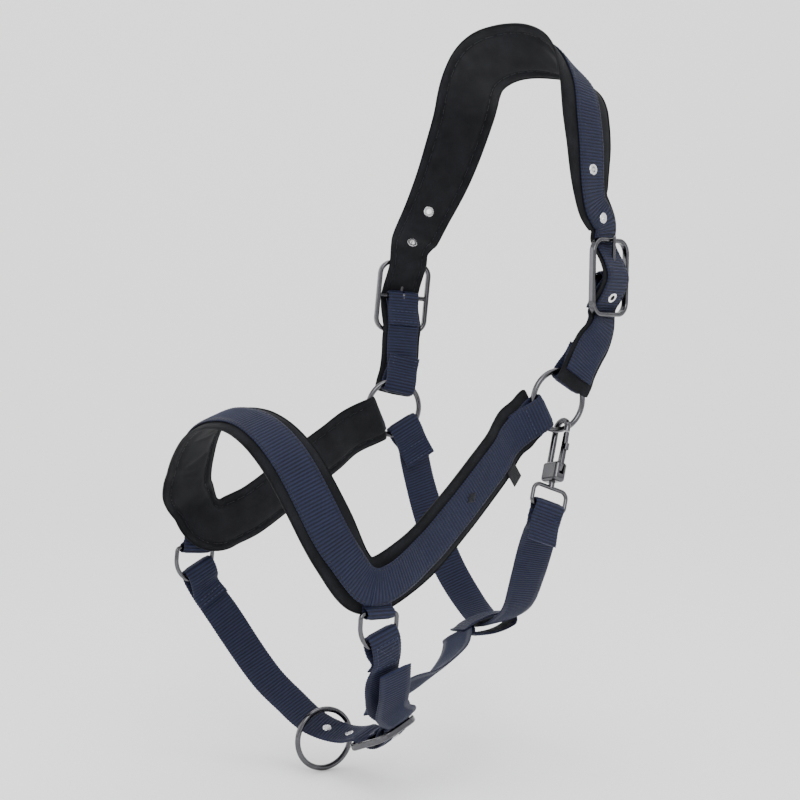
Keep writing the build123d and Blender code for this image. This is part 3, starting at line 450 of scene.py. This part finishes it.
def add(tree, kind, **settings):
    node = tree.nodes.new(kind)
    for key, value in settings.items():
        if key in node.inputs:
            node.inputs[key].default_value = value
        else:
            setattr(node, key, value)
    return node


def surface(shader, **values):
    """Sets the shader's inputs; an underscore in a name stands for a space."""
    for key, value in values.items():
        shader.inputs[key.replace("_", " ")].default_value = value


def mixed(tree, factor, dark, light):
    """A colour between dark and light."""
    mix = add(tree, "ShaderNodeMix", data_type="RGBA")
    tree.links.new(factor, mix.inputs["Factor"])
    mix.inputs[6].default_value = (*dark, 1)
    mix.inputs[7].default_value = (*light, 1)
    return mix.outputs[2]


def scaled(tree, value, times, plus=0.0, clamp=False):
    """A value multiplied, plus a number or another value."""
    node = add(tree, "ShaderNodeMath", operation="MULTIPLY_ADD", use_clamp=clamp)
    tree.links.new(value, node.inputs[0])
    node.inputs[1].default_value = times
    if isinstance(plus, float):
        node.inputs[2].default_value = plus
    else:
        tree.links.new(plus, node.inputs[2])
    return node.outputs[0]


def waved(tree, value, turns, kind):
    """A sine or cosine that goes round so many turns for each unit of a value."""
    node = add(tree, "ShaderNodeMath", operation=kind)
    tree.links.new(scaled(tree, value, 2 * math.pi * turns), node.inputs[0])
    return node.outputs[0]


def texture(tree, kind, place, **settings):
    node = add(tree, kind, **settings)
    tree.links.new(place, node.inputs["Vector"])
    return node.outputs[0]


def bumped(tree, shader, height, strength, distance):
    bump = add(tree, "ShaderNodeBump", Strength=strength, Distance=distance)
    tree.links.new(height, bump.inputs["Height"])
    tree.links.new(bump.outputs[0], shader.inputs["Normal"])


FINE_THREADS = 21             # fine threads over half a webbing's width
FINE_THREAD_RELIEF = 0.6      # against the relief of the noise
RIB_SHADING_TONE = 0.34               # shares of light colour: painted highlight on a rib's top and painted shade in its hollows,
BASE_TONE = 0.12              # everywhere,
FLECK_TONE = 0.40             # in small flecks,
PATCH_TONE = 0.22             # and in broad patches


def woven(name, dark, light, rib_shading, roughness, sheen):
    """Woven thread: fine weave from the strap's own directions, with painted highlight on the ribs' tops
    and painted shade between them.
    """
    material, tree, shader = nodes_of(name)
    coordinates = add(tree, "ShaderNodeTexCoord")
    split = add(tree, "ShaderNodeSeparateXYZ")
    tree.links.new(coordinates.outputs["UV"], split.inputs[0])
    ribs = waved(tree, split.outputs["Y"], 1, "COSINE")
    fine = waved(tree, split.outputs["X"], FINE_THREADS, "SINE")
    place = coordinates.outputs["Object"]
    flecks = texture(tree, "ShaderNodeTexNoise", place, Scale=900.0, Detail=3.0)
    patches = texture(tree, "ShaderNodeTexNoise", place, Scale=60.0, Detail=2.0)
    # painted highlight on each rib's top and painted shade in the hollow between ribs
    tone = scaled(tree, ribs, RIB_SHADING_TONE * rib_shading, BASE_TONE)
    tone = scaled(tree, flecks, FLECK_TONE, tone)
    tone = scaled(tree, patches, PATCH_TONE, tone, clamp=True)
    tree.links.new(mixed(tree, tone, dark, light), shader.inputs["Base Color"])
    bumped(tree, shader, scaled(tree, fine, FINE_THREAD_RELIEF, flecks), 0.45, 0.18 * MM)
    surface(shader, Roughness=roughness, Sheen_Weight=sheen, Sheen_Roughness=0.4, Specular_IOR_Level=0.22)
    return material


NAP_SPREAD = 2.4              # contrast of the lining's light and dark


def brushed_lining(name, dark, light):
    """Soft knitted lining with a short nap."""
    material, tree, shader = nodes_of(name)
    place = add(tree, "ShaderNodeTexCoord").outputs["Object"]
    nap = texture(tree, "ShaderNodeTexNoise", place, Scale=1400.0, Detail=4.0)
    patches = texture(tree, "ShaderNodeTexNoise", place, Scale=70.0, Detail=3.0)
    cells = texture(tree, "ShaderNodeTexVoronoi", place, Scale=1600.0)
    both = add(tree, "ShaderNodeMath", operation="MULTIPLY")
    tree.links.new(nap, both.inputs[0])
    tree.links.new(patches, both.inputs[1])
    tone = scaled(tree, both.outputs[0], NAP_SPREAD, clamp=True)
    tree.links.new(mixed(tree, tone, dark, light), shader.inputs["Base Color"])
    bumped(tree, shader, cells, 0.5, 0.2 * MM)
    surface(shader, Roughness=0.9, Specular_IOR_Level=0.12, Sheen_Weight=0.03, Sheen_Roughness=0.5)
    return material


EDGE_WEAR = 3.0               # how strongly sharp edges are worn light
EDGE_WEAR_FROM = -1.35        # taken off, so that flat faces aren't worn
CLOUD_TONE = 0.45
CLOUD_ROUGHNESS = 0.16        # added roughness in the cloudiest places
CLOUD_SMOOTHNESS = 0.06       # taken off the roughness in the clearest


def plated(name, dark, light, roughness):
    """Cast metal with a polished plating, a little cloudy and scuffed."""
    material, tree, shader = nodes_of(name)
    place = add(tree, "ShaderNodeTexCoord").outputs["Object"]
    pointed = add(tree, "ShaderNodeNewGeometry").outputs["Pointiness"]
    clouds = texture(tree, "ShaderNodeTexNoise", place, Scale=140.0, Detail=4.0)
    grain = texture(tree, "ShaderNodeTexNoise", place, Scale=1500.0, Detail=2.0)
    edges = scaled(tree, pointed, EDGE_WEAR, EDGE_WEAR_FROM, clamp=True)
    wear = scaled(tree, clouds, CLOUD_TONE, edges, clamp=True)
    tree.links.new(mixed(tree, wear, dark, light), shader.inputs["Base Color"])
    rough = scaled(tree, clouds, CLOUD_ROUGHNESS, roughness - CLOUD_SMOOTHNESS)
    tree.links.new(rough, shader.inputs["Roughness"])
    bumped(tree, shader, grain, 0.12, 0.1 * MM)
    surface(shader, Metallic=1.0)
    return material


# the fourth number sets how strongly painted highlight and shade follow the ribs
NAVY = woven("navy_webbing", (0.0010, 0.0014, 0.0060), (0.0115, 0.0165, 0.052), 1.0, 0.6, 0.04)
THREAD = woven("navy_thread", (0.012, 0.015, 0.035), (0.06, 0.07, 0.125), 0.0, 0.5, 0.05)
DARK_THREAD = woven("dark_thread", (0.002, 0.0022, 0.004), (0.010, 0.011, 0.018), 0.0, 0.45, 0.03)
TAB = woven("blank_tab", (0.002, 0.002, 0.003), (0.012, 0.012, 0.016), 0.2, 0.6, 0.03)
LINING = brushed_lining("charcoal_lining", (0.0018, 0.0019, 0.0024), (0.0115, 0.012, 0.0145))
GUNMETAL = plated("gunmetal", (0.045, 0.045, 0.05), (0.16, 0.16, 0.17), 0.17)
NICKEL = plated("bright_nickel", (0.62, 0.62, 0.64), (0.86, 0.86, 0.88), 0.22)


# ---------------------------------------------------------------- webbing
def finished(obj, body, slot, *nodes):
    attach(obj, body)
    if nodes:
        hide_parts(*nodes)


def box_middle(node):
    return np.mean([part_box(node)[0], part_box(node)[1]], axis=0)


NOSEBAND_CORE = box_middle("nose_pad")
CROWN_CORE = box_middle("crown_pad")
# each strap's body, and a point on its inner side
WEBBING_STRAPS = {
    "nose_webbing": ("noseband", NOSEBAND_CORE),
    "near_cheek_webbing": ("noseband", NOSEBAND_CORE),
    "off_cheek_webbing": ("noseband", NOSEBAND_CORE),
    "near_nose_tab": ("noseband", NOSEBAND_CORE),
    "off_nose_tab": ("noseband", NOSEBAND_CORE),
    "crown_webbing": ("crown", CROWN_CORE),
    "near_buckle_strap": ("crown", CROWN_CORE),
    "off_buckle_strap": ("crown", CROWN_CORE),
    "near_chin_strap": ("chin", NOSEBAND_CORE),
    "off_chin_strap": ("chin", NOSEBAND_CORE),
    "throat_strap": ("throat", NOSEBAND_CORE),
    "jaw_strap": ("jaw", NOSEBAND_CORE),
}
PADS = {
    "nose_pad": ("noseband", NOSEBAND_CORE),
    "crown_pad": ("crown", CROWN_CORE),
}
EYELETS_THROUGH = {
    "crown_webbing": "crown_eyelets",
    "crown_pad": "crown_eyelets",
    "off_chin_strap": "chin_eyelets",
}
straps = {}


def cut_for_eyelets(obj, node):
    if node in EYELETS_THROUGH:
        cut_round(obj, straps[node], eyelet_places(EYELETS_THROUGH[node]))


for node, (body, core) in WEBBING_STRAPS.items():
    straps[node] = Strap(node, ROW_STEP, core)
    piece = webbing(node + "_cloth", straps[node], NAVY)
    finished(piece, body, "navy_webbing", node)
    cut_for_eyelets(piece, node)


# ---------------------------------------------------------------- padding
PAD_STEP = 2.6 * MM
PAD_ACROSS = 22               # points across each face of a pad
PAD_FULL = 0.88               # share of the CAD pad's thickness that the pad starts from
PAD_SHARPNESS = 3.6           # of its rounded inner face
PAD_BACK_SHARPNESS = 6        # of its back, which lies against the webbing
PAD_CHANNEL = 0.70            # share of the half width where the padding is stitched down
CHANNEL_WIDTH = 0.06
CHANNEL_DEPTH = 0.55
WRINKLE_HEIGHT = 0.12 * MM
WRINKLE_LENGTH = 7 * MM
WRINKLE_SLANT = 3
PAD_END = 3 * MM              # the pad thins over this length at both ends,
PAD_END_FULL = 0.35           # down to this share of its fullness
PAD_SINK = 0.06 * MM          # keeps its back just clear of the webbing
HELD_CHANNEL = 0.05           # half the width held still at a channel, as a share of the half width
HELD_BACK = 0.66              # share of the half width held still under the webbing
HELD_END = 4 * MM
PAD_PRESSURE = 4.0
PAD_MOST_MOVE = 0.9 * MM
CLOTH_QUALITY = 5
CLOTH_MASS = 0.3
CLOTH_STIFFNESS = 12
CLOTH_BENDING = 0.4
CLOTH_FRAMES = 20


def from_end(strap):
    """Each row's distance to the nearer end of a strap."""
    return np.minimum(strap.travelled, strap.length - strap.travelled)


def pad_points(strap, share, side):
    """A padded strap: flat towards its webbing, full between its stitched channels."""
    groove = np.exp(-((abs(share) - PAD_CHANNEL) / CHANNEL_WIDTH) ** 2)
    full = edge_round(share, PAD_SHARPNESS) * (1 - CHANNEL_DEPTH * groove)
    inner = strap.thick[:, None] * full[None, :] * PAD_FULL
    slant = strap.travelled[:, None] / WRINKLE_LENGTH + WRINKLE_SLANT * share[None, :]
    wrinkle = WRINKLE_HEIGHT * np.sin(slant)
    half = strap.thick[:, None] / 2
    back = half * edge_round(share, PAD_BACK_SHARPNESS)
    height = np.where(side > 0, back, half - inner + wrinkle * full)
    ends = np.clip(from_end(strap) / PAD_END, 0, 1)[:, None]
    height = half + (height - half) * (PAD_END_FULL + (1 - PAD_END_FULL) * ends**0.5) - PAD_SINK
    return strap.surface(share[None, :] * strap.width[:, None] / 2, height)


def puffed(pad, held):
    """Fills the padding with a short cloth simulation. The held points stay still."""
    group = pad.vertex_groups.new(name="held")
    group.add([int(v) for v in np.where(held)[0]], 1.0, "REPLACE")
    cloth = pad.modifiers.new("cloth", "CLOTH")
    settings = cloth.settings
    settings.quality = CLOTH_QUALITY
    settings.mass = CLOTH_MASS
    settings.tension_stiffness = CLOTH_STIFFNESS
    settings.compression_stiffness = CLOTH_STIFFNESS
    settings.bending_stiffness = CLOTH_BENDING
    settings.vertex_group_mass = "held"
    settings.use_pressure = True
    settings.uniform_pressure_force = PAD_PRESSURE
    settings.effector_weights.gravity = 0
    for number in range(1, CLOTH_FRAMES + 1):
        bpy.context.scene.frame_set(number)
    solved = pad.evaluated_get(bpy.context.evaluated_depsgraph_get()).data
    before = np.array([v.co for v in pad.data.vertices])
    after = np.array([v.co for v in solved.vertices])
    pad.modifiers.remove(cloth)
    bpy.context.scene.frame_set(1)
    move = np.nan_to_num(after - before)
    size = np.linalg.norm(move, axis=1)[:, None]
    move *= np.minimum(1, PAD_MOST_MOVE / (size + TINY))
    pad.data.vertices.foreach_set("co", (before + move).ravel())
    pad.data.update()


def padded(name, strap):
    """A pad along a strap, held at its channels, at its ends and under its webbing while it is filled."""
    share, side = section_shares(PAD_ACROSS)
    points = pad_points(strap, share, side)
    faces = facing_out(points, tube_faces(len(strap.travelled), len(share)))
    pad = new_object(name, points, faces, LINING, strap.weave_uv(share))
    seam = abs(abs(share) - PAD_CHANNEL) < HELD_CHANNEL
    under_webbing = (side > 0) & (abs(share) < HELD_BACK)
    near_end = from_end(strap) < HELD_END
    held = near_end[:, None] | (seam | under_webbing)[None, :]
    puffed(pad, held.ravel())
    return pad


for node, (body, core) in PADS.items():
    straps[node] = Strap(node, PAD_STEP, core)
    piece = padded(node + "_cushion", straps[node])
    cut_for_eyelets(piece, node)
    smooth = piece.modifiers.new("round", "SUBSURF")
    smooth.levels = smooth.render_levels = 1
    finished(piece, body, "charcoal_lining", node)


# ---------------------------------------------------------------- metal
for name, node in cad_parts.items():
    if name not in WEBBING_STRAPS and name not in PADS and name != "size_tab":
        nickel = name in EYELETS_THROUGH.values()
        node.data.materials.clear()
        node.data.materials.append(NICKEL if nickel else GUNMETAL)


# ---------------------------------------------------------------- size tab
TAB_ROWS = 21                 # rings of points from the middle of one face to the middle of the other
TAB_AROUND = 24
TAB_FACE_RINGS = 8            # the rings of each face; the rest go round the edge
TAB_CORNER = 0.1              # how far the corners stand out beyond the sides
TAB_EDGE_THINNING = 0.6
TAB_EDGE_SHARPNESS = 8
TAB_RIBS = 6


def size_tab():
    """A plain woven tab with soft edges."""
    points, _ = welded_corners(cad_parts["size_tab"].data)
    middle = points.mean(axis=0)
    _, _, axes = np.linalg.svd(points - middle)
    reach = [abs((points - middle) @ axis).max() for axis in axes]
    edge_ring = TAB_ROWS // 2
    grid, uv = [], []
    for i in range(TAB_ROWS):
        radial = min(i, TAB_ROWS - 1 - i, TAB_FACE_RINGS) / TAB_FACE_RINGS
        level = np.sign(edge_ring - i)
        for j in range(TAB_AROUND):
            angle = 2 * math.pi * j / TAB_AROUND
            square = max(abs(math.cos(angle)), abs(math.sin(angle)))
            round_off = 1 - TAB_CORNER + TAB_CORNER * square
            u = radial * math.cos(angle) / square * round_off
            v = radial * math.sin(angle) / square * round_off
            thinning = 1 - TAB_EDGE_THINNING * max(abs(u), abs(v)) ** TAB_EDGE_SHARPNESS
            height = level * reach[2] * thinning
            grid.append(middle + axes[0] * reach[0] * u + axes[1] * reach[1] * v + axes[2] * height)
            uv.append((u, v * TAB_RIBS))
    faces = facing_out(np.array(grid), tube_faces(TAB_ROWS, TAB_AROUND))
    return new_object("size_tab_cloth", np.array(grid), faces, TAB, np.array(uv))


finished(size_tab(), "noseband", "blank_tab", "size_tab")


# ---------------------------------------------------------------- sewing
EDGE_SHARE = 0.86             # share of the half width where the edges are sewn
NOSEBAND_MARGIN = 3 * MM
CROWN_MARGIN = 4 * MM
HALF_BEND = 5 * MM            # half the length of a strap's bend round its bar
SEAM_FROM_BAR = 2 * MM        # the first seam is this far past the gap beside the bar
SEAM_FROM_LAP_END = 2.5 * MM
# each piece's body and strap, and the lap and bar gap in mm of each fold, and whether it is at the far end
FOLDS = {
    "near_cheek_fold_stitches": ("noseband", "near_cheek_webbing", ((26, 15, False),)),
    "off_cheek_fold_stitches": ("noseband", "off_cheek_webbing", ((26, 15, True),)),
    "near_buckle_strap_stitches": ("crown", "near_buckle_strap", ((24, 11, False), (24, 15, True))),
    "off_buckle_strap_stitches": ("crown", "off_buckle_strap", ((24, 11, False), (24, 15, True))),
    "throat_fold_stitches": ("throat", "throat_strap", ((30, 15, False), (24, 13, True))),
    "off_chin_stitches": ("chin", "off_chin_strap", ((19, 11, False),)),
}
CHIN_BOX = (38 * MM, 56 * MM)
JAW_SEAMS = (6 * MM, 12 * MM)
CHANNEL_MARGIN = 12 * MM
CHANNEL_LIFT = 0.04           # height of the channel stitches, as a share of the pad's thickness
CHANNEL_SINK = 0.02 * MM


def sew(name, body, ends, material=THREAD, radius=STITCH_RADIUS):
    finished(stitches(name, ends, material, radius), body, "navy_webbing")


def edge_rows(strap, margin):
    return [s for edge in (-EDGE_SHARE, EDGE_SHARE) for s in stitch_row(strap, edge, margin)]


def fold_seams(strap, lap, bar_gap, far_end):
    """Two rows of stitches across a folded end, on the strap and on the lap behind it."""
    bend = lap + HALF_BEND
    ends = []
    for reach in (bar_gap + SEAM_FROM_BAR, lap - SEAM_FROM_LAP_END):
        for distance in (bend + HALF_BEND + reach, lap - reach):
            ends += stitch_across(strap, strap.length - distance if far_end else distance)
    return ends


for node in ("nose_webbing", "near_cheek_webbing", "off_cheek_webbing"):
    sew(node + "_stitches", "noseband", edge_rows(straps[node], NOSEBAND_MARGIN), DARK_THREAD)

for name, (body, node, folds) in FOLDS.items():
    ends = []
    for lap, bar_gap, far_end in folds:
        ends += fold_seams(straps[node], lap * MM, bar_gap * MM, far_end)
    sew(name, body, ends)

sew("near_chin_stitches", "chin", stitch_box(straps["near_chin_strap"], *CHIN_BOX))
sew("jaw_stitches", "jaw", [s for at in JAW_SEAMS for s in stitch_across(straps["jaw_strap"], at)])

for name, (body, _) in PADS.items():
    height = straps[name].thick.mean() * CHANNEL_LIFT - CHANNEL_SINK
    seams = []
    for share in (-PAD_CHANNEL, PAD_CHANNEL):
        seams += stitch_row(straps[name], share, CHANNEL_MARGIN, side=-1, height=height)
    sew(name + "_channel_stitches", body, seams, DARK_THREAD)

sew("crown_edge_stitches", "crown", edge_rows(straps["crown_webbing"], CROWN_MARGIN), DARK_THREAD)


# ---------------------------------------------------------------- embroidered mark
MARK_PLACE = (0.106, 0.044, 0.1758)
MARK_HALF_LENGTH = 5 * MM
MARK_HALF_WIDTH = 0.34        # as a share of the webbing's half width
MARK_HEIGHT = 1.25 * MM
MARK_THREAD = 0.32 * MM
MARK_STITCHES = 10            # each side of the middle one


def plain_mark(strap):
    """A plain diamond of satin stitches."""
    ends = []
    middle = strap.travelled[strap.nearest(MARK_PLACE)]
    for k in range(-MARK_STITCHES, MARK_STITCHES + 1):
        share = (1 - abs(k) / (MARK_STITCHES + 1)) * MARK_HALF_WIDTH
        row = strap.row_at(middle + k / MARK_STITCHES * MARK_HALF_LENGTH)
        start, end = (strap.place(row, edge, MARK_HEIGHT) for edge in (-share, share))
        ends.append((start, end, strap.out[row]))
    return ends


sew("plain_mark", "noseband", plain_mark(straps["near_cheek_webbing"]), DARK_THREAD, MARK_THREAD)


# ---------------------------------------------------------------- stage
FLOOR_REACH = 6.0
SWEEP_START = 1.2             # distance behind the object where the floor begins to rise
SWEEP_RADIUS = 0.8
SWEEP_STEPS = 12
WALL_TOP = 6.0
BACKWARD = np.array([-0.74313, 0.66913, 0])      # away from the camera, along the floor
SIDEWAYS = np.array([0.66913, 0.74313, 0])
WORLD_STRENGTH = 1.25
LIT_POINT = (0, 0.05, 0.25)
# each lamp's place, size and power
LAMPS = {
    "key": ((1.6, -0.9, 1.6), 1.2, 26),
    "fill": ((-0.9, -1.8, 0.9), 1.4, 12),
    "top": ((0.1, 0.3, 2.0), 1.6, 14),
}
CAMERA_PLACE = (1.01155, -0.83835, 0.35593)
CAMERA_AXES = ((0.66913, 0.74314, 0.0), (-0.06478, 0.05833, 0.9962), (0.74031, -0.66658, 0.08716))
CAMERA_LENS = 84.87
CAMERA_SENSOR = 36


def stage():
    """A pale floor that sweeps up into a wall behind the object."""
    material, _, shader = nodes_of("pale_floor")
    shader.inputs["Base Color"].default_value = (1.0, 1.0, 1.0, 1)
    surface(shader, Roughness=0.7)
    profile = [(-FLOOR_REACH, 0.0), (SWEEP_START, 0.0)]
    for k in range(SWEEP_STEPS + 1):
        angle = math.radians(90 * k / SWEEP_STEPS)
        profile.append((SWEEP_START + SWEEP_RADIUS * math.sin(angle), SWEEP_RADIUS * (1 - math.cos(angle))))
    profile.append((SWEEP_START + SWEEP_RADIUS, WALL_TOP))
    points = []
    for distance, height in profile:
        for reach in (-FLOOR_REACH, FLOOR_REACH):
            up = np.array([0, 0, cad_bounds[0][2] + height])
            points.append(BACKWARD * distance + SIDEWAYS * reach + up)
    faces = [(2 * k, 2 * k + 1, 2 * k + 3, 2 * k + 2) for k in range(len(profile) - 1)]
    new_object("floor", np.array(points), faces, material)


def lamp(name, place, size, power):
    data = bpy.data.lights.new(name, "AREA")
    data.size = size
    data.energy = power
    obj = bpy.data.objects.new(name, data)
    obj.location = place
    direction = Vector(LIT_POINT) - Vector(place)
    obj.rotation_euler = direction.to_track_quat("-Z", "Y").to_euler()
    bpy.context.scene.collection.objects.link(obj)


def studio():
    """White light all round, and three soft lamps."""
    world = bpy.data.worlds.new("studio")
    world.use_nodes = True
    background = world.node_tree.nodes["Background"]
    background.inputs[0].default_value = (1, 1, 1, 1)
    background.inputs[1].default_value = WORLD_STRENGTH
    bpy.context.scene.world = world
    for name, (place, size, power) in LAMPS.items():
        lamp(name, place, size, power)


def camera():
    data = bpy.data.cameras.new("camera")
    data.lens = CAMERA_LENS
    data.sensor_width = CAMERA_SENSOR
    obj = bpy.data.objects.new("camera", data)
    rotation = Matrix(CAMERA_AXES).transposed().to_4x4()
    obj.matrix_world = Matrix.Translation(CAMERA_PLACE) @ rotation
    bpy.context.scene.collection.objects.link(obj)
    bpy.context.scene.camera = obj


stage()
studio()
camera()
